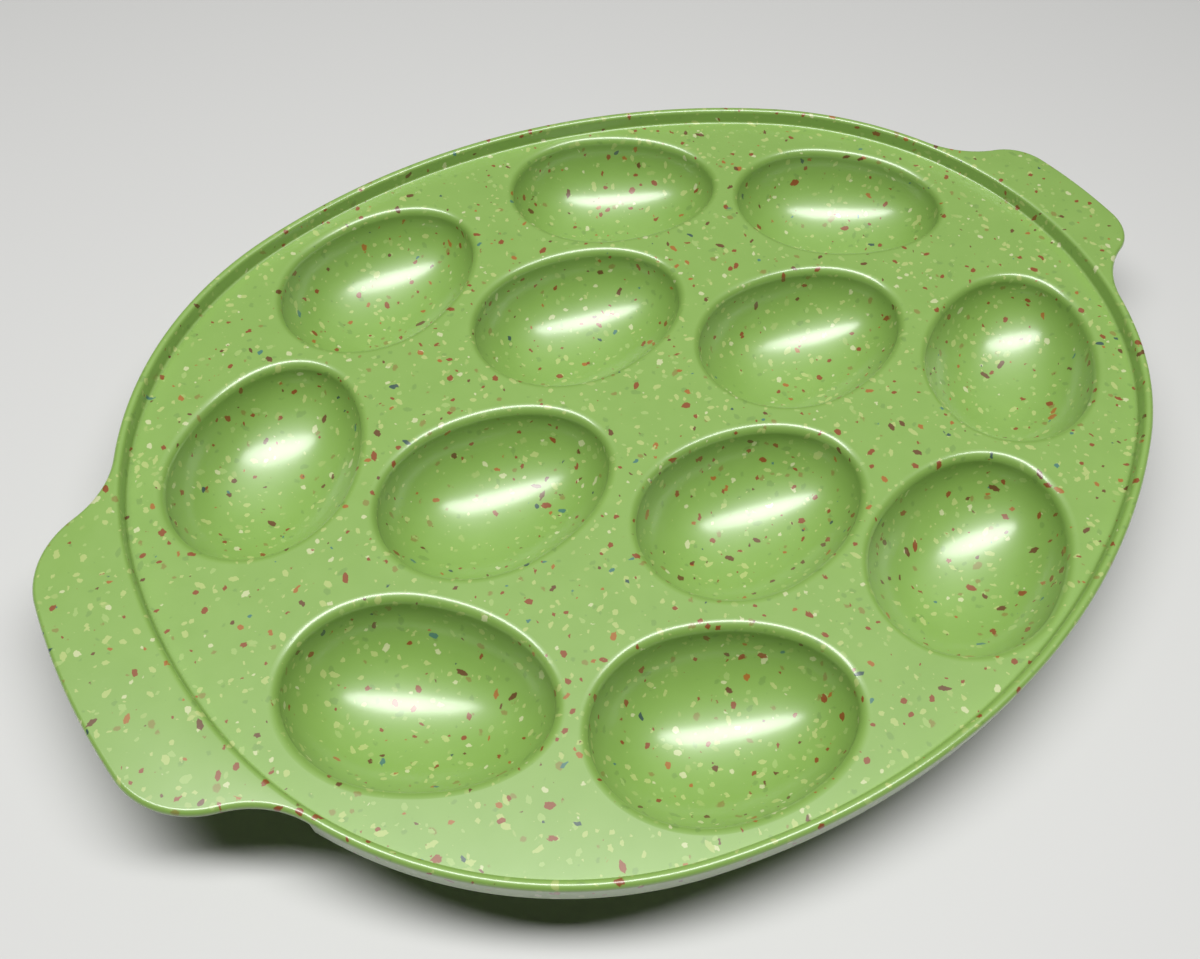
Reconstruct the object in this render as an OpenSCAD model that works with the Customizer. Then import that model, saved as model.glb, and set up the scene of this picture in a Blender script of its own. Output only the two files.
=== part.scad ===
// Egg-shaped serving platter with twelve wells for egg halves, a low rim and a tab handle at each end.
// It is one moulding, drawn as named regions that meet face to face.
// The long axis is X, with the blunt end towards -X. The flats under the bowls stand at z = 0.

/* [Wells] */
// Length of a well's mouth
well_l = 65; // [58:0.5:75]
// Width of a well's mouth
well_w = 47.5; // [42:0.5:56]
// Distance from the blunt end of a mouth to its widest part
well_blunt = 28; // [24:0.5:33]
// Gap between two mouths that lie end to end
well_gap = 9; // [8:0.5:16]
// Depth of a bowl below the deck
bowl_h = 19.4; // [14:0.2:26]
// Wall of a bowl
bowl_wall = 2.1; // [1.8:0.1:3]
// Height of the flat cut under each bowl
flat_h = 0.6; // [0.3:0.1:0.9]
// Radius of the rounded lip
lip_r = 2.1; // [1:0.1:2.6]
// Flat of the lip outside the bowl's wall
lip_land = 0.3; // [0.2:0.1:1]

/* [Deck and rim] */
// Thickness of the deck
deck_t = 2.6; // [2.2:0.1:4]
// Margin that the deck adds at each end of the field of wells
deck_margin = 8; // [7.5:0.5:16]
// Reach of the rim past its foot
rim_w = 3.75; // [3.6:0.05:6]
// Height of the rim above the deck
rim_rise = 4.7; // [4.2:0.05:6]
// Radius of the rim's rounded edge
crest_r = 1.3; // [1:0.05:1.4]
// Radius of the fillet where the rim leaves the deck
foot_r = 0.8; // [0.4:0.1:1]

/* [Blunt handle] */
// Reach of the handle past the rim
blunt_reach = 20.7; // [18:0.1:30]
// Distance between the centres of its corners
blunt_span = 47; // [40:1:60]
// Radius of its corners
blunt_corner = 23.5; // [18:0.5:26]
// Radius of its crowned end
blunt_crown = 205; // [120:5:400]
// Radius of the fillets where it leaves the rim
blunt_root = 26; // [18:1:35]

/* [Tip handle] */
// Reach of the handle past the rim
tip_reach = 18.6; // [16:0.1:26]
// Distance between the centres of its corners
tip_span = 28; // [22:1:40]
// Radius of its corners
tip_corner = 15; // [10:0.5:18]
// Radius of its crowned end
tip_crown = 135; // [90:5:300]
// Radius of the fillets where it leaves the rim
tip_root = 29; // [18:1:35]

/* [Hidden] */
$fn = 72;
glaze = [0.59, 0.75, 0.41];

// Egg outline of the deck, from the blunt end: radius as a share of the length, then the heading where the
// arc ends. A last arc closes the outline square to the axis.
plan_shares = [[0.571, 82.25], [0.369, 15.9], [0.68, -35.75]];

// Wells on one side of the axis and on it: place as shares of the pitch, then the turn in plan
spot_shares = [
    [-1.373, 0.568, 42],
    [-0.591, 1.181, 18],
    [-0.742, 0, 0],
    [-0.007, 0.57, 0],
    [0.695, 0, 0],
    [0.545, 1.136, -22.5],
    [1.347, 0.539, -35]
];

// Least pitch as a share of a mouth's width
row_share = 1.55;
// Length of the deck inside its margins, as shares of the pitch and of a mouth's width
field_share = 3.26;
flank_share = 0.74;

// Steps of the outline, of the rounded edge and of the fillet, in degrees
plan_step = 3;
edge_step = 20;
foot_step = 15;

// Pitch that keeps the wells clear of one another end to end and side by side
pitch = max(well_l + well_gap, row_share * well_w);
lip_w = bowl_wall + lip_land;
plan_l = field_share * pitch + flank_share * well_w + 2 * deck_margin;
deck_z = deck_t + bowl_h + bowl_wall - flat_h;
middle_x = (blunt_reach - tip_reach) / 2;
line_o = rim_w - crest_r;
mouth_x = well_blunt - well_l / 2;

wells = [for (s = spot_shares, side = s[1] == 0 ? [1] : [1, -1])
    [pitch * s[0], side * pitch * s[1], side * s[2]]];

function well_name(i) = str("well_", i < 10 ? "0" : "", i);
function toward(angle) = [cos(angle), sin(angle)];
function bearing(v) = atan2(v.y, v.x);
function swing(from, to, step) =
    let (n = ceil(abs(to - from) / step)) [for (k = [0 : n]) from + (to - from) * k / n];
function reversed(list) = [for (i = [len(list) - 1 : -1 : 0]) list[i]];
function tail(list) = [for (i = [1 : len(list) - 1]) list[i]];

// Heading where arc i ends, on an outline that leaves the axis at 90 degrees and comes back at -90
function head(t, i) = i < 0 ? 90 : i < len(t) ? t[i][1] : -90;
// Height that the listed arcs gain from arc i on
function climb(t, i = 0) =
    i == len(t) ? 0 : t[i][0] * (cos(head(t, i)) - cos(head(t, i - 1))) + climb(t, i + 1);
// Radii of the listed arcs and of the one that closes the outline
function radii(t) = concat([for (row = t) row[0]], climb(t) / cos(head(t, len(t) - 1)));
// Length that the arcs cover from arc i on
function cover(t, r, i = 0) =
    i == len(r) ? 0 : r[i] * (sin(head(t, i - 1)) - sin(head(t, i))) + cover(t, r, i + 1);
// Centre of arc i of an outline of length l
function centre(t, r, l, i) =
    i == 0 ? [r[0] - l / 2, 0]
    : centre(t, r, l, i - 1) + (r[i] - r[i - 1]) * [sin(head(t, i - 1)), -cos(head(t, i - 1))];
// Arcs of half an outline of length l: centre, radius, first angle, last angle
function arcs(l, t) =
    let (raw = radii(t), r = raw * l / cover(t, raw))
    [for (i = [0 : len(t)]) [centre(t, r, l, i), r[i], head(t, i - 1) + 90, head(t, i) + 90]];

// Point where two circles meet, on the left of the line from p to q
function meet(p, a, q, b) =
    let (d = norm(q - p), u = (q - p) / d, along = (d * d + a * a - b * b) / (2 * d))
    p + along * u + sqrt(a * a - along * along) * [-u.y, u.x];

// Stations along an arc, each with its centre, radius and angle, and the point that lies off outside one
function stations(c, r, from, to, step = plan_step) = [for (angle = swing(from, to, step)) [c, r, angle]];
function at(s, off) = s[0] + (s[1] + off) * toward(s[2]);
function below(list) = reversed([for (s = list) [[s[0].x, -s[0].y], s[1], -s[2]]]);
function turned(list) = [for (s = list) [[-s[0].x, s[0].y], s[1], 180 - s[2]]];

// Handle that points along X, as arcs tangent to one another and to a rim arc: crown, corner, root and rim
function handle_arcs(end, span, corner, crown, root, hub, rim_r) =
    let (
        c = [end - crown, 0],
        k = c + [sqrt(pow(crown - corner, 2) - pow(span / 2, 2)), span / 2],
        q = meet(hub, rim_r + root, k, corner + root)
    )
    [
        [c, crown, 0, bearing(k - c)],
        [k, corner, bearing(k - c), bearing(q - k)],
        [q, root, bearing(k - q), bearing(hub - q)],
        [hub, rim_r, bearing(q - hub)]
    ];

plan = arcs(plan_l, plan_shares);
blunt = handle_arcs(
    plan_l / 2 + rim_w + blunt_reach, blunt_span, blunt_corner, blunt_crown, blunt_root,
    [-plan[1][0].x, plan[1][0].y], plan[1][1] + rim_w
);
tip = handle_arcs(
    plan_l / 2 + rim_w + tip_reach, tip_span, tip_corner, tip_crown, tip_root,
    plan[3][0], plan[3][1] + rim_w
);

// Foot of the rim: from the middle of the blunt end to the handle's root, along one side, and round the tip
blunt_quarter = concat(
    stations(plan[0][0], plan[0][1], plan[0][2], plan[0][3]),
    tail(stations(plan[1][0], plan[1][1], plan[1][2], 180 - blunt[3][2]))
);
side_run = concat(
    stations(plan[1][0], plan[1][1], 180 - blunt[3][2], plan[1][3]),
    tail(stations(plan[2][0], plan[2][1], plan[2][2], plan[2][3])),
    tail(stations(plan[3][0], plan[3][1], plan[3][2], tip[3][2]))
);
blunt_run = concat(below(blunt_quarter), tail(blunt_quarter));
tip_run = stations(plan[3][0], plan[3][1], tip[3][2], -tip[3][2]);
foot_run = concat(tail(blunt_run), tail(side_run), tail(tip_run), tail(below(side_run)));

// Solid through rings of points, each ring anticlockwise to one who looks back along them, which runs on from
// its last ring to its first
module loop(rings) {
    m = len(rings[0]);
    n = len(rings);
    sides = [for (i = [0 : n - 1], j = [0 : m - 1])
        let (near = i * m, far = (i + 1) % n * m, next = (j + 1) % m)
        [near + j, far + j, far + next, near + next]];
    polyhedron([for (ring = rings) each ring], sides);
}

module at_deck() translate([middle_x, 0, deck_z]) children();

module at_well(w) translate([w.x, w.y]) rotate(w.z) translate([mouth_x, 0]) children();

// Stretches a half that is round about the widest part of a mouth to each end of the egg
module egg() {
    scale([(well_l - well_blunt) * 2 / well_w, 1, 1]) rotate(-90) children();
    scale([well_blunt * 2 / well_w, 1, 1]) rotate(90) children();
}

module half_disc(r)
    intersection() {
        circle(r);
        translate([-r, 0]) square([2 * r, r]);
    }

module deck()
    color(glaze) at_deck() translate([0, 0, -deck_t]) difference() {
        linear_extrude(deck_t) polygon(reversed([for (s = foot_run) at(s, 0)]));
        for (w = wells)
            translate([0, 0, -deck_t]) at_well(w) egg()
                linear_extrude(3 * deck_t) half_disc(well_w / 2 + lip_w);
    }

// Rim from its foot to its edge, as offsets from the foot and heights above the deck
function rim_section() =
    let (
        crest = [line_o, rim_rise - crest_r],
        fillet = [0, foot_r],
        slope = bearing(crest - fillet) + asin((foot_r + crest_r) / norm(crest - fillet)),
        outer = crest + crest_r * toward(slope - 90)
    )
    concat(
        [[0, -deck_t], [outer.x - (outer.y + deck_t) / tan(slope), -deck_t]],
        [for (angle = swing(slope - 90, slope + 90, edge_step)) crest + crest_r * toward(angle)],
        [for (angle = swing(slope - 90, -90, foot_step)) fillet + foot_r * toward(angle)]
    );

// Rim sections at the stations of a run, which reach no further than a limit
function rim_rings(run, limit) =
    [for (s = run) [for (p = rim_section()) [each at(s, min(p.x, limit)), p.y]]];

module rim()
    color(glaze) at_deck() loop(concat(
        rim_rings(blunt_run, line_o),
        rim_rings(side_run, rim_w),
        rim_rings(tip_run, line_o),
        rim_rings(below(side_run), rim_w)
    ));

// Outline of a handle inside its edge by inset, from the rim's far side round to its near side
function handle_outline(h, inset) =
    let (
        upper = concat(
            [for (s = stations(h[0][0], h[0][1], h[0][2], h[0][3])) at(s, -inset)],
            tail([for (s = stations(h[1][0], h[1][1], h[1][2], h[1][3], edge_step)) at(s, -inset)]),
            tail([for (s = stations(h[2][0], h[2][1], h[2][2], h[2][3], edge_step)) at(s, inset)])
        )
    )
    concat(reversed([for (p = upper) [p.x, -p.y]]), tail(upper));

// Triangles between two rows of points that share both ends, where the row that lags takes the next step
function zipped(a, b, i = 1, j = 1) =
    let (m = len(a) - 2, n = len(b) - 2)
    i == m && j == n ? [[a[0], a[1], b[1]], [a[m], a[m + 1], b[n]]]
    : j == n || (i < m && i * n <= j * m)
        ? concat([[a[i], a[i + 1], b[j]]], zipped(a, b, i + 1, j))
        : concat([[a[i], b[j + 1], b[j]]], zipped(a, b, i, j + 1));

// Flat plate with a fully rounded edge, which meets the rim along a line through the crest's middle.
// Its rows run round the edge from the top to the underside, and its seam along the rim.
module handle(h, join) {
    angles = swing(90, -90, edge_step);
    rows = [for (angle = angles) [for (p = handle_outline(h, crest_r * (1 - cos(angle))))
        [each p, crest_r * sin(angle)]]];
    seam = [for (s = tail(reversed(tail(join)))) at(s, line_o)];
    w = len(rows[0]);
    last = len(rows) - 1;
    first = len(rows) * w;
    over = concat(0, [for (j = [0 : len(seam) - 1]) first + j], w - 1);
    under = concat(last * w, [for (j = [0 : len(seam) - 1]) first + len(seam) + j], first - 1);
    edge = [for (i = [0 : last - 1], j = [0 : w - 2]) let (k = i * w + j) [k, k + 1, k + w + 1, k + w]];
    top = [for (f = zipped([for (j = [0 : w - 1]) j], over)) reversed(f)];
    base = zipped([for (j = [0 : w - 1]) last * w + j], under);
    wall = [for (j = [0 : len(over) - 2]) [under[j + 1], over[j + 1], over[j], under[j]]];
    ends = [[for (i = [0 : last]) i * w], [for (i = [last : -1 : 0]) i * w + w - 1]];
    points = concat([for (row = rows) each row], [for (z = [crest_r, -crest_r], p = seam) [each p, z]]);
    translate([0, 0, rim_rise - crest_r]) polyhedron(points, concat(edge, top, base, wall, ends));
}

module blunt_handle()
    color(glaze) at_deck() mirror([1, 0, 0]) handle(blunt, turned(reversed(blunt_run)));

module tip_handle() color(glaze) at_deck() handle(tip, tip_run);

// Quarter of an oval to the right of its centre and below it
module quarter_oval(x, y)
    scale([1, y / x]) intersection() {
        circle(x);
        translate([0, -x]) square(x);
    }

// Half section of a well across its widest part: rounded lip, bowl and flat, with the deck's top at y = 0
module well_section() {
    hw = well_w / 2;
    r = min(lip_r, lip_w, deck_t);
    difference() {
        union() {
            translate([0, -deck_t]) square([hw + lip_w, deck_t]);
            intersection() {
                translate([0, -deck_t]) quarter_oval(hw + bowl_wall, bowl_h + bowl_wall);
                translate([0, -deck_z]) square([hw + bowl_wall, deck_z]);
            }
        }
        translate([0, -deck_t]) square([hw, 2 * deck_t]);
        translate([0, -deck_t]) quarter_oval(hw, bowl_h);
        difference() {
            translate([hw - lip_w, -r]) square([lip_w + r, deck_t + r]);
            translate([hw + r, -r]) circle(r);
        }
    }
}

module well(w) color(glaze) at_deck() at_well(w) egg() rotate_extrude(angle = 180) well_section();

deck();
rim();
blunt_handle();
tip_handle();
for (i = [0 : len(wells) - 1]) well(wells[i]);
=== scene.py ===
"""Egg platter in speckled green melamine: deck, twelve wells, low rim and a tab handle at each end."""

import math

import bmesh
import bpy
from bpy.props import FloatProperty, FloatVectorProperty, PointerProperty
from mathutils import Matrix, Vector
from mathutils.geometry import delaunay_2d_cdt
from mathutils.kdtree import KDTree


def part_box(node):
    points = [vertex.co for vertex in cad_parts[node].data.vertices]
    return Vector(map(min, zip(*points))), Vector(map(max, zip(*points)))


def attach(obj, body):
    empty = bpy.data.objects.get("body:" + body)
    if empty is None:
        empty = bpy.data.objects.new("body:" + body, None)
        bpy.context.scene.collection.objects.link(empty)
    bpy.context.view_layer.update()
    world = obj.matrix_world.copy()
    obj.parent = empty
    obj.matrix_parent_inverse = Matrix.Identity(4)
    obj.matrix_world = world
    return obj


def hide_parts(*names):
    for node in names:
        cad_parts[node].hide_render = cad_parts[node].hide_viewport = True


bl_info = {
    "name": "Egg Platter",
    "version": (1, 0, 0),
    "blender": (4, 5, 0),
    "location": "3D View > Sidebar > Platter",
    "description": "Builds an egg platter with twelve wells over its CAD frame",
    "category": "Add Mesh",
}

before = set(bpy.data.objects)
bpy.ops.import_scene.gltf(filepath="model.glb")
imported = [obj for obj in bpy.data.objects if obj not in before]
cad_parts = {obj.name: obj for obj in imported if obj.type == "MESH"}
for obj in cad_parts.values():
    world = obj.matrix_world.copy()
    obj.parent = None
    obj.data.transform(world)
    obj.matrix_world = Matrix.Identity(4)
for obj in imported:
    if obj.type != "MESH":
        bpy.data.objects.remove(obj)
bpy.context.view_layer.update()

DECK_LOW, DECK_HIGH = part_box("deck")
DECK_THICK = DECK_HIGH.z - DECK_LOW.z
RIM_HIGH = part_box("rim")[1]
BLUNT_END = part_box("blunt_handle")[0].x
TIP_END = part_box("tip_handle")[1].x

# Egg outline of the deck, from the blunt end: radius as a share of the length, then the heading in degrees
# where the arc ends. A last arc closes the outline square to the axis.
PLAN_ARCS = ((0.571, 82.25), (0.369, 15.9), (0.68, -35.75))

# Wells on one side of the axis and on it: place as shares of the pitch, then the turn in degrees
WELL_SPOTS = (
    (-1.373, 0.568, 42.0),
    (-0.591, 1.181, 18.0),
    (-0.742, 0.0, 0.0),
    (-0.007, 0.57, 0.0),
    (0.695, 0.0, 0.0),
    (0.545, 1.136, -22.5),
    (1.347, 0.539, -35.0),
)

# Steps round a mouth, down a bowl and round a lip
MOUTH_STEPS = 128
BOWL_STEPS = 30
LIP_STEPS = 12

# Steps in degrees along the plan, round an edge, round a handle's corner and round its root
PLAN_STEP = 1.0
EDGE_STEP = 10.0
CORNER_STEP = 3.0
ROOT_STEP = 2.0

# Share of a step that rounding may add before one more step is made
STEP_SLACK = 1e-6

# Parts of each edge when the room round a mouth is measured
EDGE_PARTS = 8

# The flat land at the rim's foot is the fillet's radius divided by this
LAND_PARTS = 6

# Points closer than the weld become one point, and edges shorter than a sliver are dropped, in metres
WELD = 2e-7
SLIVER = 1e-7

# Closeness of the deck's cut, and the kind of cut that keeps only what lies inside its outline
CUT_CLOSENESS = 1e-9
CUT_INSIDE = 1

# Angle in degrees above which two faces keep a sharp edge
CREASE = 35.0

# Outline of the chips in shares of a cell: scale, detail and reach of its raggedness, then how thin a flake
# is along its three axes, how far its corners are cut and how much the small ones prevail
RAGGED_SCALE = 3.2
RAGGED_DETAIL = 1.0
RAGGED_REACH = 0.22
FLAKE_AXES = (0.85, 2.0, 1.4)
CORNER_CUT = 0.62
SMALL_PREVAIL = 1.6

# Clouds in the ground and fine unevenness of the gloss, per metre
CLOUD_SCALE = 90.0
CLOUD_DETAIL = 3.0
HAZE_SCALE = 260.0
HAZE_DETAIL = 4.0

# Skin of the melamine: least and most roughness, then strength and depth in metres of its unevenness,
# and how the body and the clear coat over it bend light
ROUGHNESS = (0.38, 0.48)
SKIN_STRENGTH = 0.02
SKIN_DEPTH = 0.0004
BODY_IOR = 1.6
COAT_ROUGHNESS = 0.2
COAT_IOR = 1.5

# Sockets of a mix node: its factor, its two colours and its result
MIX_FACTOR, MIX_UNDER, MIX_OVER = 0, 6, 7
MIX_RESULT = 2

# Floor: its reach in metres, its parts, and the two greys, scale, detail and roughness of its faint clouds
FLOOR_REACH = 4.0
FLOOR_PARTS = 8
FLOOR_GREYS = ((194, 194, 192), (199, 199, 197))
FLOOR_CLOUD_SCALE = 2.0
FLOOR_CLOUD_DETAIL = 2.0
FLOOR_ROUGHNESS = 0.6

# Turn of the lamps in plan, in degrees, and light of the surroundings
LAMP_TURN = -33.7
SURROUND_LIGHT = 0.025

# Width of the camera's sensor in millimetres, and the nearest that it sees, in metres
SENSOR_WIDTH = 36.0
NEAREST_SEEN = 0.01


def srgb(red, green, blue):
    """Linear colour from the 0 to 255 values that a screen shows."""
    shares = [value / 255 for value in (red, green, blue)]
    return tuple(s / 12.92 if s <= 0.04045 else ((s + 0.055) / 1.055) ** 2.4 for s in shares)


def length(name, default, description):
    """Length in metres that a user can change."""
    return FloatProperty(name=name, description=description, default=default, min=0.0001, precision=4,
                         subtype="DISTANCE", unit="LENGTH")


def tint(name, rgb, description):
    """Colour that a user can change, given by the values that a screen shows."""
    return FloatVectorProperty(name=name, description=description, default=srgb(*rgb), size=3,
                               min=0.0, max=1.0, subtype="COLOR")


class PlatterSizes(bpy.types.PropertyGroup):
    """Sizes of the moulding, in metres"""

    pitch: length("Pitch", 0.074, "Distance between two wells that lie end to end")
    well_length: length("Well length", 0.0662, "Length of a well's mouth")
    well_width: length("Well width", 0.0487, "Width of a well's mouth")
    well_blunt: length("Well blunt end", 0.0286, "Distance from a mouth's blunt end to its widest part")
    bowl_depth: length("Bowl depth", 0.0194, "Depth of a bowl below the deck")
    bowl_wall: length("Bowl wall", 0.0021, "Wall of a bowl")
    lip_width: length("Lip width", 0.0026, "Width of a well's rounded lip, from the mouth to the deck")
    lip_depth: length("Lip depth", 0.0026, "Depth to which the lip is rounded")
    lip_room: length("Lip room", 0.0001, "Room kept between a lip and the next lip or the rim")
    rim_reach: length("Rim reach", 0.00375, "Reach of the rim past its foot")
    rim_rise: length("Rim rise", RIM_HIGH.z - DECK_HIGH.z, "Height of the rim above the deck")
    crest_radius: length("Crest radius", 0.0013, "Radius of the rim's rounded edge")
    foot_radius: length("Foot radius", 0.0008, "Radius of the fillet where the rim leaves the deck")


class HandleSizes(bpy.types.PropertyGroup):
    """Sizes of the two tab handles, in metres"""

    blunt_span: length("Blunt span", 0.047, "Distance between the corner centres at the blunt end")
    blunt_corner: length("Blunt corner", 0.0235, "Corner radius of the handle at the blunt end")
    blunt_crown: length("Blunt crown", 0.205, "Radius of the crowned end of the handle at the blunt end")
    blunt_root: length("Blunt root", 0.026, "Fillet radius between rim and handle at the blunt end")
    tip_span: length("Tip span", 0.028, "Distance between the corner centres at the tip")
    tip_corner: length("Tip corner", 0.015, "Corner radius of the handle at the tip")
    tip_crown: length("Tip crown", 0.135, "Radius of the crowned end of the handle at the tip")
    tip_root: length("Tip root", 0.029, "Fillet radius between rim and handle at the tip")


class PlatterFinish(bpy.types.PropertyGroup):
    """Colours of the speckled melamine"""

    ground: tint("Ground", (132, 167, 82), "Green of the moulding")
    ground_deep: tint("Deep ground", (122, 158, 73), "Green of its darker clouds")
    moss: tint("Moss chips", (98, 130, 64), "Chips a little darker than the ground")
    lime: tint("Lime chips", (148, 176, 98), "Chips a little paler than the ground")
    straw: tint("Straw chips", (166, 182, 108), "Most of the pale chips")
    cream: tint("Cream chips", (188, 194, 146), "Palest chips")
    orange: tint("Orange chips", (156, 88, 28), "Orange chips")
    brick: tint("Brick chips", (130, 38, 8), "Brick red chips")
    plum: tint("Plum chips", (92, 28, 10), "Darkest red chips")
    teal: tint("Teal chips", (56, 108, 102), "Blue-green chips")
    navy: tint("Navy chips", (36, 62, 70), "Dark blue chips")


def sizes():
    """Sizes of the moulding in this scene."""
    return bpy.context.scene.platter_sizes


def toward(angle):
    """Unit vector in plan at an angle in degrees."""
    turn = math.radians(angle)
    return Vector((math.cos(turn), math.sin(turn)))


def bearing(vector):
    """Angle in degrees of a vector in plan."""
    return math.degrees(math.atan2(vector.y, vector.x))


def swing(first, last, step):
    """Even steps from one angle to another, both included."""
    count = max(1, math.ceil(abs(last - first) / step - STEP_SLACK))
    return [first + (last - first) * k / count for k in range(count + 1)]


def stations(centre, radius, first, last, step=PLAN_STEP):
    """Stations along an arc: its centre, its radius and the angle of each."""
    return [(centre, radius, angle) for angle in swing(first, last, step)]


def off(station, distance):
    """Point in plan at a distance outside a station of an arc."""
    centre, radius, angle = station
    return centre + (radius + distance) * toward(angle)


def below(run):
    """The same run mirrored across the long axis and walked backwards."""
    return [(Vector((c.x, -c.y)), r, -angle) for c, r, angle in reversed(run)]


def plan_arcs(plan_length):
    """Arcs of half the deck's outline, tangent to one another: centre, radius, first angle, last angle."""
    heads = [90.0] + [head for _, head in PLAN_ARCS] + [-90.0]
    radii = [share for share, _ in PLAN_ARCS]
    sine = [math.sin(math.radians(head)) for head in heads]
    cosine = [math.cos(math.radians(head)) for head in heads]
    climb = sum(r * (cosine[i + 1] - cosine[i]) for i, r in enumerate(radii))
    radii.append(climb / cosine[-2])
    cover = sum(r * (sine[i] - sine[i + 1]) for i, r in enumerate(radii))
    radii = [r * plan_length / cover for r in radii]
    centre = Vector((radii[0] - plan_length / 2, 0.0))
    arcs = []
    for i, radius in enumerate(radii):
        if i:
            centre = centre + (radius - radii[i - 1]) * Vector((sine[i], -cosine[i]))
        arcs.append((centre.copy(), radius, heads[i] + 90, heads[i + 1] + 90))
    return arcs


def circles_meet(p, a, q, b):
    """Point where two circles meet, on the left of the line from p to q."""
    line = q - p
    d = line.length
    u = line / d
    along = (d * d + a * a - b * b) / (2 * d)
    return p + along * u + math.sqrt(a * a - along * along) * Vector((-u.y, u.x))


def handle_arcs(end, span, corner, crown, root, hub, rim_radius):
    """Crown, corner and root of a handle that points along X, and the angle where it leaves the rim."""
    c = Vector((end - crown, 0.0))
    k = c + Vector((math.sqrt((crown - corner) ** 2 - (span / 2) ** 2), span / 2))
    q = circles_meet(hub, rim_radius + root, k, corner + root)
    arcs = (
        (c, crown, 0.0, bearing(k - c)),
        (k, corner, bearing(k - c), bearing(q - k)),
        (q, root, bearing(k - q), bearing(hub - q)),
    )
    return arcs, bearing(q - hub)


class Plan:
    """Lines of the platter in plan, round the middle of the deck."""

    def __init__(self):
        s = sizes()
        h = bpy.context.scene.platter_handles
        self.middle = Vector(((DECK_LOW.x + DECK_HIGH.x) / 2, 0.0))
        self.arcs = plan_arcs(DECK_HIGH.x - DECK_LOW.x)
        hub, radius = self.arcs[1][:2]
        self.blunt, blunt_angle = handle_arcs(
            self.middle.x - BLUNT_END, h.blunt_span, h.blunt_corner, h.blunt_crown, h.blunt_root,
            Vector((-hub.x, hub.y)), radius + s.rim_reach)
        hub, radius = self.arcs[3][:2]
        self.tip, tip_angle = handle_arcs(
            TIP_END - self.middle.x, h.tip_span, h.tip_corner, h.tip_crown, h.tip_root,
            hub, radius + s.rim_reach)
        first, second, third, last = self.arcs
        quarter = stations(*first) + stations(*second[:3], 180 - blunt_angle)[1:]
        self.side_run = (stations(*second[:2], 180 - blunt_angle, second[3]) + stations(*third)[1:]
                         + stations(*last[:3], tip_angle)[1:])
        self.blunt_run = below(quarter) + quarter[1:]
        self.tip_run = stations(*last[:2], tip_angle, -tip_angle)

    def foot(self):
        """Every station round the foot of the rim, once."""
        return self.blunt_run[1:] + self.side_run[1:] + self.tip_run[1:] + below(self.side_run)[1:]

    def place(self, point, height):
        """Point in plan as a point in the platter's frame, at a height above the deck."""
        return Vector((point.x + self.middle.x, point.y + self.middle.y, DECK_HIGH.z + height))


def wells():
    """Name, place in plan and turn of each well, pairs together."""
    pitch = sizes().pitch
    spots = []
    for x, y, turn in WELL_SPOTS:
        for side in ((1, -1) if y else (1,)):
            spots.append((f"well_{len(spots) + 1:02d}", Vector((pitch * x, side * pitch * y)), side * turn))
    return spots


def mouth(spot, turn, shrink=1.0, grow=None):
    """Points round a well's mouth in plan, shrunk about its middle and then moved out along the normals."""
    s = sizes()
    grow = grow or [0.0] * MOUTH_STEPS
    half = s.well_width / 2
    ends = (s.well_length - s.well_blunt, s.well_blunt)
    middle = Vector((s.well_blunt - s.well_length / 2, 0.0))
    rotate = Matrix.Rotation(math.radians(turn), 2)
    points = []
    for k in range(MOUTH_STEPS):
        u = toward(360 * k / MOUTH_STEPS)
        reach = ends[0] if u.x >= 0 else ends[1]
        normal = Vector((u.x / reach, u.y / half)).normalized()
        point = middle + shrink * Vector((reach * u.x, half * u.y)) + grow[k] * normal
        points.append(spot + rotate @ point)
    return points


def nearest(loops):
    """Search tree of points along closed loops in plan, with each edge in equal parts."""
    edges = [edge for loop in loops for edge in zip(loop, loop[1:] + loop[:1])]
    points = [a.lerp(b, k / EDGE_PARTS) for a, b in edges for k in range(EDGE_PARTS)]
    tree = KDTree(len(points))
    for k, point in enumerate(points):
        tree.insert(point.to_3d(), k)
    tree.balance()
    return tree


def lip_widths(plan):
    """Width of the lip at each point round each mouth: less where the next lip or the rim is near."""
    s = sizes()
    edges = {name: mouth(spot, turn) for name, spot, turn in wells()}
    wall = nearest([[off(station, 0.0) for station in plan.foot()]])
    widths = {}
    for name, edge in edges.items():
        others = nearest([loop for other, loop in edges.items() if other != name])
        room = [min(others.find(p.to_3d())[2] / 2, wall.find(p.to_3d())[2]) - s.lip_room for p in edge]
        widths[name] = [min(s.lip_width, r) for r in room]
    return widths


def make_piece(name, bm):
    """Finishes a mesh as a piece of the platter that stands for the CAD node of that name."""
    bmesh.ops.remove_doubles(bm, verts=bm.verts, dist=WELD)
    bmesh.ops.dissolve_degenerate(bm, dist=SLIVER, edges=bm.edges)
    bmesh.ops.recalc_face_normals(bm, faces=bm.faces)
    open_edges = [edge for edge in bm.edges if not edge.is_manifold]
    if open_edges:
        raise RuntimeError(f"{name} has {len(open_edges)} open edges")
    mesh = bpy.data.meshes.new(name)
    bm.to_mesh(mesh)
    bm.free()
    mesh.shade_smooth()
    mesh.set_sharp_from_angle(angle=math.radians(CREASE))
    piece = bpy.data.objects.new(f"platter_{name}", mesh)
    bpy.context.scene.collection.objects.link(piece)
    mesh.materials.append(melamine())
    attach(piece, "root")
    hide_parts(name)


def add_rings(bm, rings, closed_path=False):
    """Skin of quads through closed rings of points; returns the rings of vertices."""
    made = [[bm.verts.new(point) for point in ring] for ring in rings]
    pairs = list(zip(made, made[1:]))
    if closed_path:
        pairs.append((made[-1], made[0]))
    for near, far in pairs:
        count = len(near)
        for j in range(count):
            bm.faces.new((near[j], near[(j + 1) % count], far[(j + 1) % count], far[j]))
    return made


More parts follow.
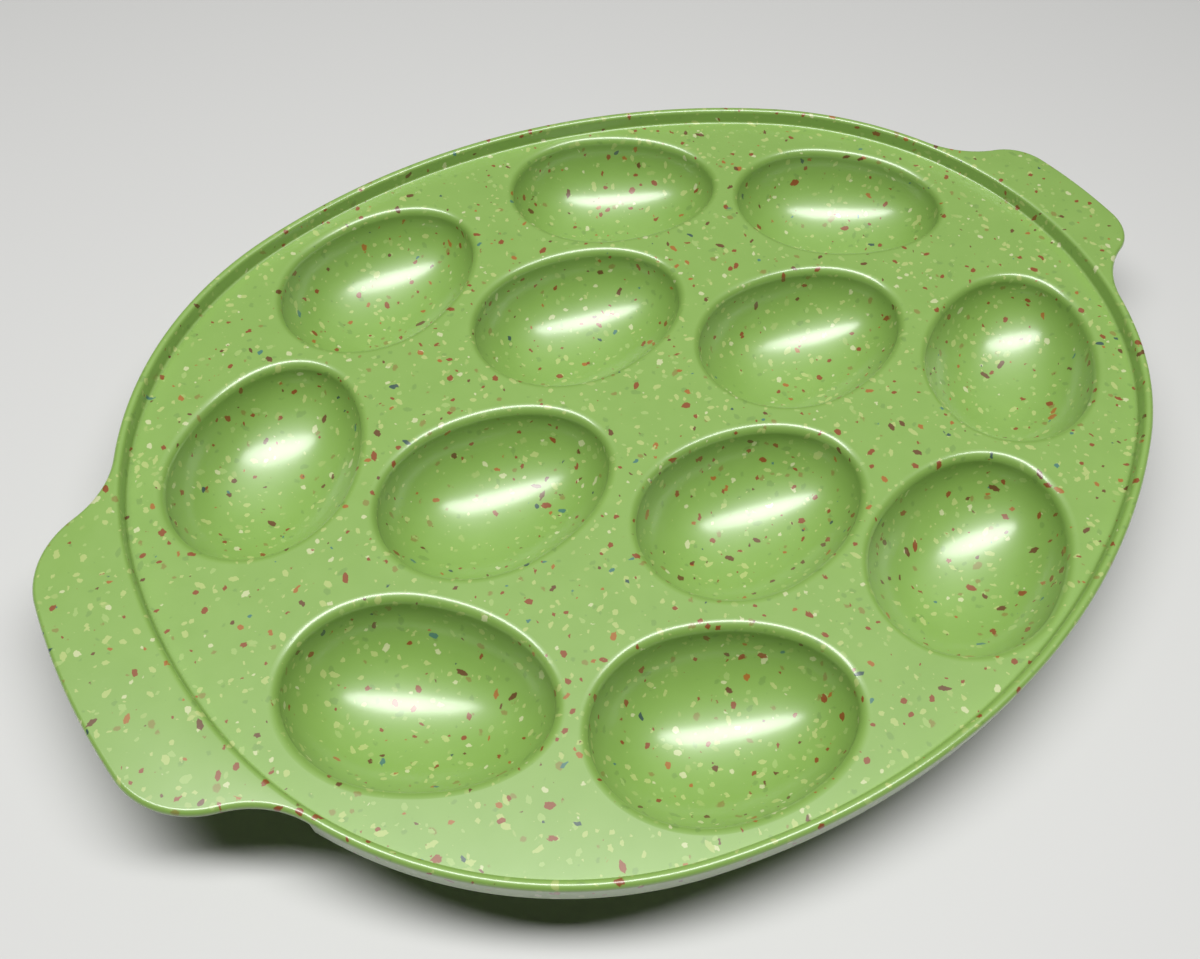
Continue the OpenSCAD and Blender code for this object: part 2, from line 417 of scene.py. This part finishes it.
def fan(bm, ring, point):
    """Closes a ring of vertices with triangles to one point."""
    pole = bm.verts.new(point)
    for j, vert in enumerate(ring):
        bm.faces.new((vert, ring[(j + 1) % len(ring)], pole))


def deck_piece(plan):
    """Flat floor with the twelve well mouths cut through it."""
    loops = [[off(station, 0.0) for station in plan.foot()]]
    widths = lip_widths(plan)
    loops += [mouth(spot, turn, grow=widths[name]) for name, spot, turn in wells()]
    points, edges, owner = [], [], []
    for loop in loops:
        start = len(points)  # 0 for the outline, and so a mark for each mouth
        points += loop
        owner += [start] * len(loop)
        edges += [(start + k, start + (k + 1) % len(loop)) for k in range(len(loop))]
    flat, _, faces, sources, *_ = delaunay_2d_cdt(points, edges, [], CUT_INSIDE, CUT_CLOSENESS)
    owner = [owner[source[0]] for source in sources]
    bm = bmesh.new()
    top = [bm.verts.new(plan.place(point, 0.0)) for point in flat]
    under = [bm.verts.new(plan.place(point, -DECK_THICK)) for point in flat]
    for face in faces:
        if len({owner[k] for k in face}) == 1 and owner[face[0]]:
            continue  # inside a mouth, all three corners on its edge
        bm.faces.new([top[k] for k in face])
        bm.faces.new([under[k] for k in reversed(face)])
    half_way = DECK_HIGH.z - DECK_THICK / 2
    walls = [edge for edge in bm.edges if edge.is_boundary and edge.verts[0].co.z > half_way]
    twin = dict(zip(top, under))
    for edge in walls:
        a, b = edge.verts
        bm.faces.new((a, b, twin[b], twin[a]))
    make_piece("deck", bm)


def rim_section():
    """Closed section of the rim: offsets from its foot and heights above the deck."""
    s = sizes()
    land = s.foot_radius / LAND_PARTS
    crest = Vector((s.rim_reach - s.crest_radius, s.rim_rise - s.crest_radius))
    fillet = Vector((land, s.foot_radius))
    gap = crest - fillet
    slope = bearing(gap) + math.degrees(math.asin((s.foot_radius + s.crest_radius) / gap.length))
    outer = crest + s.crest_radius * toward(slope - 90)
    under = Vector((outer.x - (outer.y + DECK_THICK) / math.tan(math.radians(slope)), -DECK_THICK))
    section = [Vector((0.0, -DECK_THICK)), under, outer]
    for first, last in ((slope - 90, slope), (slope, 90), (90, slope + 90)):
        section += [crest + s.crest_radius * toward(angle) for angle in swing(first, last, EDGE_STEP)[1:]]
    section += [fillet + s.foot_radius * toward(angle) for angle in swing(slope - 90, -90, EDGE_STEP)]
    section.append(Vector((0.0, 0.0)))
    return section


def rim_piece(plan):
    """Low wall round the deck with a rounded crest, open to the handles along the middle of the crest."""
    s = sizes()
    line = s.rim_reach - s.crest_radius
    runs = ((plan.blunt_run, line), (plan.side_run, s.rim_reach), (plan.tip_run, line),
            (below(plan.side_run), s.rim_reach))
    rings = [[plan.place(off(station, min(p.x, limit)), p.y) for p in rim_section()]
             for run, limit in runs for station in run]
    bm = bmesh.new()
    add_rings(bm, rings, closed_path=True)
    make_piece("rim", bm)


def handle_outline(arcs, inset):
    """Outline of a handle inside its edge by inset, from the rim's far side round to its near side."""
    crown, corner, root = arcs
    upper = [off(station, -inset) for station in stations(*crown)]
    upper += [off(station, -inset) for station in stations(*corner, step=CORNER_STEP)[1:]]
    upper += [off(station, inset) for station in stations(*root, step=ROOT_STEP)[1:]]
    return [Vector((p.x, -p.y)) for p in reversed(upper)] + upper[1:]


def handle_piece(plan, name, arcs, join, facing):
    """Flat tab with a fully rounded edge that runs out of the rim's crest."""
    s = sizes()
    level = s.rim_rise - s.crest_radius
    line = [off(station, s.rim_reach - s.crest_radius) for station in join]

    def place(point, height):
        return plan.place(Vector((facing * point.x, point.y)), height)

    bm = bmesh.new()
    rows = []
    for angle in swing(90, -90, EDGE_STEP):
        turn = math.radians(angle)
        outline = handle_outline(arcs, s.crest_radius * (1 - math.cos(turn)))
        rows.append([bm.verts.new(place(p, level + s.crest_radius * math.sin(turn))) for p in outline])
    for near, far in zip(rows, rows[1:]):
        for j in range(len(near) - 1):
            bm.faces.new((near[j], near[j + 1], far[j + 1], far[j]))
    over = [bm.verts.new(plan.place(p, level + s.crest_radius)) for p in line]
    under = [bm.verts.new(plan.place(p, level - s.crest_radius)) for p in line]
    for j in range(len(line) - 1):
        bm.faces.new((over[j], over[j + 1], under[j + 1], under[j]))
    if (over[0].co - rows[0][-1].co).length > (over[-1].co - rows[0][-1].co).length:
        over.reverse()
        under.reverse()
    bm.faces.new(rows[0] + over)
    bm.faces.new(rows[-1] + under)
    for end, corner in ((0, -1), (-1, 0)):
        ring = [row[corner] for row in rows]
        bm.faces.new(ring + [under[end], over[end]])
    make_piece(name, bm)


def well_piece(plan, name, spot, turn, widths):
    """Egg-shaped bowl with a rounded lip above and a flat to stand on below."""
    s = sizes()
    flat = DECK_HIGH.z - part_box(name)[0].z
    wall = [s.bowl_wall] * MOUTH_STEPS

    def ring(shrink, grow, share, height):
        return [plan.place(p, height) for p in mouth(spot, turn, shrink, [share * g for g in grow])]

    inside = []
    for angle in swing(90, 180, 90 / LIP_STEPS):
        u = toward(angle)
        inside.append(ring(1.0, widths, 1 + u.x, s.lip_depth * (u.y - 1)))
    drop = DECK_THICK + s.bowl_depth - s.lip_depth
    for k in range(1, BOWL_STEPS):
        dip = math.radians(90 * k / BOWL_STEPS)
        inside.append(ring(math.cos(dip), wall, 0.0, -s.lip_depth - drop * math.sin(dip)))
    outside = [ring(1.0, widths, 1.0, -DECK_THICK)]
    drop = s.bowl_depth + s.bowl_wall
    last = math.degrees(math.asin((flat - DECK_THICK) / drop))
    for angle in swing(0, last, 90 / BOWL_STEPS):
        dip = math.radians(angle)
        outside.append(ring(math.cos(dip), wall, math.cos(dip), -DECK_THICK - drop * math.sin(dip)))
    bm = bmesh.new()
    made = add_rings(bm, list(reversed(inside)) + outside)
    middle = spot + Matrix.Rotation(math.radians(turn), 2) @ Vector((s.well_blunt - s.well_length / 2, 0.0))
    fan(bm, made[0], plan.place(middle, -DECK_THICK - s.bowl_depth))
    fan(bm, made[-1], plan.place(middle, -flat))
    make_piece(name, bm)


def node(tree, kind, **settings):
    """New shader node with its settings."""
    made = tree.nodes.new(kind)
    for name, value in settings.items():
        setattr(made, name, value)
    return made


def feed(tree, value, slot):
    """Links an output to a node's input, or sets the input to a plain value."""
    if isinstance(value, bpy.types.NodeSocket):
        tree.links.new(value, slot)
    else:
        slot.default_value = value


def math_node(tree, operation, *values):
    """Math node fed by outputs or plain numbers; returns its output."""
    made = node(tree, "ShaderNodeMath", operation=operation)
    for slot, value in zip(made.inputs, values):
        feed(tree, value, slot)
    return made.outputs[0]


def vector_node(tree, operation, *values, scale=None):
    """Vector math node fed by outputs or plain values; returns its output."""
    made = node(tree, "ShaderNodeVectorMath", operation=operation)
    for slot, value in zip(made.inputs, values):
        feed(tree, value, slot)
    if scale is not None:
        feed(tree, scale, made.inputs["Scale"])
    return made.outputs["Vector"]


def noise(tree, place, scale, detail):
    """Noise in space at a place; returns its node."""
    made = node(tree, "ShaderNodeTexNoise", noise_dimensions="3D")
    made.inputs["Scale"].default_value = scale
    made.inputs["Detail"].default_value = detail
    feed(tree, place, made.inputs["Vector"])
    return made


def chip_group():
    """Node group for one scatter of angular chips: a mask of them and a random pick for each."""
    name = "Angular chips"
    if name in bpy.data.node_groups:
        return bpy.data.node_groups[name]
    tree = bpy.data.node_groups.new(name, "ShaderNodeTree")
    face = tree.interface
    face.new_socket("Vector", in_out="INPUT", socket_type="NodeSocketVector")
    for label in ("Cell", "Share", "Smallest", "Largest", "Softness"):
        face.new_socket(label, in_out="INPUT", socket_type="NodeSocketFloat")
    face.new_socket("Seed", in_out="INPUT", socket_type="NodeSocketVector")
    face.new_socket("Mask", in_out="OUTPUT", socket_type="NodeSocketFloat")
    face.new_socket("Pick", in_out="OUTPUT", socket_type="NodeSocketFloat")
    given = node(tree, "NodeGroupInput").outputs
    out = node(tree, "NodeGroupOutput").inputs

    moved = vector_node(tree, "ADD", given["Vector"], given["Seed"])
    cells = vector_node(tree, "SCALE", moved, scale=math_node(tree, "DIVIDE", 1.0, given["Cell"]))
    ragged = noise(tree, cells, RAGGED_SCALE, RAGGED_DETAIL)
    shaken = vector_node(tree, "SUBTRACT", ragged.outputs["Color"], (0.5, 0.5, 0.5))
    spread = vector_node(tree, "ADD", cells, vector_node(tree, "SCALE", shaken, scale=RAGGED_REACH))
    scatter = node(tree, "ShaderNodeTexVoronoi", voronoi_dimensions="3D", feature="F1")
    scatter.inputs["Scale"].default_value = 1.0
    feed(tree, spread, scatter.inputs["Vector"])
    local = vector_node(tree, "SUBTRACT", spread, scatter.outputs["Position"])
    chance = node(tree, "ShaderNodeSeparateColor")
    feed(tree, scatter.outputs["Color"], chance.inputs[0])

    turned = node(tree, "ShaderNodeVectorRotate", rotation_type="EULER_XYZ")
    feed(tree, local, turned.inputs["Vector"])
    turns = vector_node(tree, "SCALE", scatter.outputs["Color"], scale=2 * math.pi)
    feed(tree, turns, turned.inputs["Rotation"])
    flake = vector_node(tree, "ABSOLUTE", vector_node(tree, "MULTIPLY", turned.outputs[0], FLAKE_AXES))
    axes = node(tree, "ShaderNodeSeparateXYZ")
    feed(tree, flake, axes.inputs[0])
    x, y, z = axes.outputs
    box = math_node(tree, "MAXIMUM", math_node(tree, "MAXIMUM", x, y), z)
    total = math_node(tree, "ADD", math_node(tree, "ADD", x, y), z)
    shape = math_node(tree, "MAXIMUM", box, math_node(tree, "MULTIPLY", total, CORNER_CUT))

    size = node(tree, "ShaderNodeMapRange")
    feed(tree, math_node(tree, "POWER", chance.outputs[1], SMALL_PREVAIL), size.inputs["Value"])
    feed(tree, given["Smallest"], size.inputs["To Min"])
    feed(tree, given["Largest"], size.inputs["To Max"])
    present = math_node(tree, "LESS_THAN", chance.outputs[0], given["Share"])
    edge = node(tree, "ShaderNodeMapRange", interpolation_type="SMOOTHSTEP")
    feed(tree, shape, edge.inputs["Value"])
    feed(tree, math_node(tree, "SUBTRACT", size.outputs[0], given["Softness"]), edge.inputs["From Min"])
    feed(tree, size.outputs[0], edge.inputs["From Max"])
    edge.inputs["To Min"].default_value = 1.0
    edge.inputs["To Max"].default_value = 0.0
    feed(tree, math_node(tree, "MULTIPLY", edge.outputs[0], present), out["Mask"])
    feed(tree, math_node(tree, "DIVIDE", chance.outputs[0], given["Share"]), out["Pick"])
    return tree


def colour_ramp(tree, source, stops):
    """Steps of plain colour along a value from 0 to 1."""
    ramp = node(tree, "ShaderNodeValToRGB")
    ramp.color_ramp.interpolation = "CONSTANT"
    elements = ramp.color_ramp.elements
    while len(elements) < len(stops):
        elements.new(1.0)
    for element, (place, colour) in zip(elements, stops):
        element.position = place
        element.color = (*colour, 1.0)
    feed(tree, source, ramp.inputs[0])
    return ramp.outputs[0]


def mix_colour(tree, factor, under, over):
    """Lays one colour over another by a factor; returns the result."""
    made = node(tree, "ShaderNodeMix", data_type="RGBA")
    for socket, value in ((MIX_FACTOR, factor), (MIX_UNDER, under), (MIX_OVER, over)):
        feed(tree, value, made.inputs[socket])
    return made.outputs[MIX_RESULT]


def melamine():
    """Glossy green melamine with angular chips of several colours at and under the surface."""
    name = "Speckled melamine"
    if name in bpy.data.materials:
        return bpy.data.materials[name]
    finish = bpy.context.scene.platter_finish
    material = bpy.data.materials.new(name)
    material.use_nodes = True
    tree = material.node_tree
    shader = tree.nodes["Principled BSDF"]
    spot = node(tree, "ShaderNodeTexCoord").outputs["Object"]

    clouds = noise(tree, spot, CLOUD_SCALE, CLOUD_DETAIL)
    colour = mix_colour(tree, clouds.outputs["Fac"], (*finish.ground, 1.0), (*finish.ground_deep, 1.0))

    # Colours of each scatter of chips, and the share of its chips at which each colour begins
    bright = ((0.0, finish.lime), (0.34, finish.straw), (0.84, finish.cream), (0.97, finish.orange))
    warm = ((0.0, finish.brick), (0.52, finish.plum), (0.7, finish.orange), (0.77, finish.straw))
    cool = ((0.0, finish.teal), (0.5, finish.navy), (0.85, finish.straw))
    deep = ((0.0, finish.moss), (0.5, finish.straw), (0.8, finish.brick))
    layers = (
        # Cell in metres, share of cells with a chip, smallest, largest and soft edge as shares of a cell,
        # seed, strength, colours
        (0.0032, 0.85, 0.14, 0.52, 0.16, 3.0, 0.42, deep),
        (0.0027, 0.82, 0.11, 0.56, 0.08, 1.0, 0.9, bright),
        (0.0034, 0.68, 0.1, 0.48, 0.07, 5.0, 0.88, warm),
        (0.0064, 0.5, 0.06, 0.22, 0.035, 7.0, 0.9, cool),
    )
    for cell, share, small, large, soft, seed, strength, stops in layers:
        chips = node(tree, "ShaderNodeGroup", node_tree=chip_group())
        feed(tree, spot, chips.inputs["Vector"])
        for label, value in (("Cell", cell), ("Share", share), ("Smallest", small), ("Largest", large),
                             ("Softness", soft), ("Seed", (seed, seed / 2, -seed))):
            chips.inputs[label].default_value = value
        picked = colour_ramp(tree, chips.outputs["Pick"], stops)
        cover = math_node(tree, "MULTIPLY", chips.outputs["Mask"], strength)
        colour = mix_colour(tree, cover, colour, picked)
    feed(tree, colour, shader.inputs["Base Color"])

    haze = noise(tree, spot, HAZE_SCALE, HAZE_DETAIL)
    gloss = node(tree, "ShaderNodeMapRange")
    gloss.inputs["To Min"].default_value, gloss.inputs["To Max"].default_value = ROUGHNESS
    feed(tree, haze.outputs["Fac"], gloss.inputs["Value"])
    feed(tree, gloss.outputs[0], shader.inputs["Roughness"])
    skin = node(tree, "ShaderNodeBump")
    skin.inputs["Strength"].default_value = SKIN_STRENGTH
    skin.inputs["Distance"].default_value = SKIN_DEPTH
    feed(tree, haze.outputs["Fac"], skin.inputs["Height"])
    feed(tree, skin.outputs[0], shader.inputs["Normal"])
    shader.inputs["IOR"].default_value = BODY_IOR
    shader.inputs["Coat Weight"].default_value = 1.0
    shader.inputs["Coat Roughness"].default_value = COAT_ROUGHNESS
    shader.inputs["Coat IOR"].default_value = COAT_IOR
    return material


class PLATTER_OT_deck(bpy.types.Operator):
    """Builds the flat deck with its twelve well mouths"""

    bl_idname = "platter.deck"
    bl_label = "Deck"

    def execute(self, context):
        deck_piece(Plan())
        return {"FINISHED"}


class PLATTER_OT_rim(bpy.types.Operator):
    """Builds the low rim with its rounded crest"""

    bl_idname = "platter.rim"
    bl_label = "Rim"

    def execute(self, context):
        rim_piece(Plan())
        return {"FINISHED"}


class PLATTER_OT_handles(bpy.types.Operator):
    """Builds the two tab handles"""

    bl_idname = "platter.handles"
    bl_label = "Handles"

    def execute(self, context):
        plan = Plan()
        handle_piece(plan, "blunt_handle", plan.blunt, plan.blunt_run, -1)
        handle_piece(plan, "tip_handle", plan.tip, plan.tip_run, 1)
        return {"FINISHED"}


class PLATTER_OT_wells(bpy.types.Operator):
    """Builds the twelve egg-shaped wells"""

    bl_idname = "platter.wells"
    bl_label = "Wells"

    def execute(self, context):
        plan = Plan()
        widths = lip_widths(plan)
        for name, spot, turn in wells():
            well_piece(plan, name, spot, turn, widths[name])
        return {"FINISHED"}


def stage_floor():
    """Wide pale floor under the platter."""
    bm = bmesh.new()
    bmesh.ops.create_grid(bm, x_segments=FLOOR_PARTS, y_segments=FLOOR_PARTS, size=FLOOR_REACH)
    mesh = bpy.data.meshes.new("floor")
    bm.to_mesh(mesh)
    bm.free()
    floor = bpy.data.objects.new("floor", mesh)
    bpy.context.scene.collection.objects.link(floor)
    material = bpy.data.materials.new("Pale floor")
    material.use_nodes = True
    tree = material.node_tree
    shader = tree.nodes["Principled BSDF"]
    spot = node(tree, "ShaderNodeTexCoord").outputs["Object"]
    cloud = noise(tree, spot, FLOOR_CLOUD_SCALE, FLOOR_CLOUD_DETAIL)
    greys = [(*srgb(*grey), 1.0) for grey in FLOOR_GREYS]
    feed(tree, mix_colour(tree, cloud.outputs["Fac"], *greys), shader.inputs["Base Color"])
    shader.inputs["Roughness"].default_value = FLOOR_ROUGHNESS
    mesh.materials.append(material)


def stage_light(name, place, target, size, power):
    """Soft oval lamp that faces a point, with its long side turned in plan."""
    lamp = bpy.data.lights.new(name, "AREA")
    lamp.shape = "ELLIPSE"
    lamp.size, lamp.size_y = size
    lamp.energy = power
    made = bpy.data.objects.new(name, lamp)
    made.location = place
    down = Vector(target) - Vector(place)
    along = toward(LAMP_TURN).to_3d()
    across = down.cross(along).normalized()
    along = across.cross(down).normalized()
    made.rotation_euler = Matrix((along, -across, -down.normalized())).transposed().to_euler()
    bpy.context.scene.collection.objects.link(made)


def stage_camera(place, target, roll, lens):
    """Camera at a place, aimed at a point and rolled about its own axis."""
    data = bpy.data.cameras.new("camera")
    data.lens = lens
    data.sensor_width = SENSOR_WIDTH
    data.clip_start = NEAREST_SEEN
    made = bpy.data.objects.new("camera", data)
    aim = (Vector(target) - Vector(place)).to_track_quat("-Z", "Y").to_matrix().to_4x4()
    made.matrix_world = Matrix.Translation(place) @ aim @ Matrix.Rotation(math.radians(roll), 4, "Z")
    bpy.context.scene.collection.objects.link(made)
    bpy.context.scene.camera = made


class PLATTER_OT_stage(bpy.types.Operator):
    """Sets the pale floor, the soft light and the camera"""

    bl_idname = "platter.stage"
    bl_label = "Stage"

    def execute(self, context):
        stage_floor()
        stage_light("overhead", place=(-0.06, -0.03, 0.894), target=(-0.03, 0.0, 0.02),
                    size=(1.36, 0.26), power=12.8)
        stage_light("panel", place=(0.5, 0.62, 0.95), target=(0.0, 0.0, 0.02), size=(1.5, 1.3), power=0.78)
        world = bpy.data.worlds.new("studio")
        world.use_nodes = True
        surround = world.node_tree.nodes["Background"].inputs
        surround["Color"].default_value = (1.0, 1.0, 1.0, 1.0)
        surround["Strength"].default_value = SURROUND_LIGHT
        context.scene.world = world
        context.scene.view_settings.view_transform = "Standard"
        stage_camera(place=(-0.14379, -0.16931, 0.2852), target=(-0.0292, -0.01323, 0.0235),
                     roll=3.18, lens=36.245)
        return {"FINISHED"}


class PLATTER_PT_builder(bpy.types.Panel):
    """Lists the pieces of the platter and its stage"""

    bl_label = "Egg Platter"
    bl_idname = "PLATTER_PT_builder"
    bl_space_type = "VIEW_3D"
    bl_region_type = "UI"
    bl_category = "Platter"

    def draw(self, context):
        scene = context.scene
        for title, group in (("Moulding", scene.platter_sizes), ("Handles", scene.platter_handles),
                             ("Finish", scene.platter_finish)):
            box = self.layout.box()
            box.label(text=title)
            for name in group.__annotations__:
                box.prop(group, name)
        for operator in OPERATORS:
            self.layout.operator(operator.bl_idname)


OPERATORS = (PLATTER_OT_deck, PLATTER_OT_rim, PLATTER_OT_handles, PLATTER_OT_wells, PLATTER_OT_stage)
CLASSES = (PlatterSizes, HandleSizes, PlatterFinish, *OPERATORS, PLATTER_PT_builder)


def register():
    for cls in CLASSES:
        bpy.utils.register_class(cls)
    bpy.types.Scene.platter_sizes = PointerProperty(type=PlatterSizes)
    bpy.types.Scene.platter_handles = PointerProperty(type=HandleSizes)
    bpy.types.Scene.platter_finish = PointerProperty(type=PlatterFinish)


def unregister():
    del bpy.types.Scene.platter_finish
    del bpy.types.Scene.platter_handles
    del bpy.types.Scene.platter_sizes
    for cls in reversed(CLASSES):
        bpy.utils.unregister_class(cls)


def main():
    register()
    bpy.ops.platter.stage()
    bpy.ops.platter.deck()
    bpy.ops.platter.rim()
    bpy.ops.platter.handles()
    bpy.ops.platter.wells()


if __name__ == "__main__":
    main()
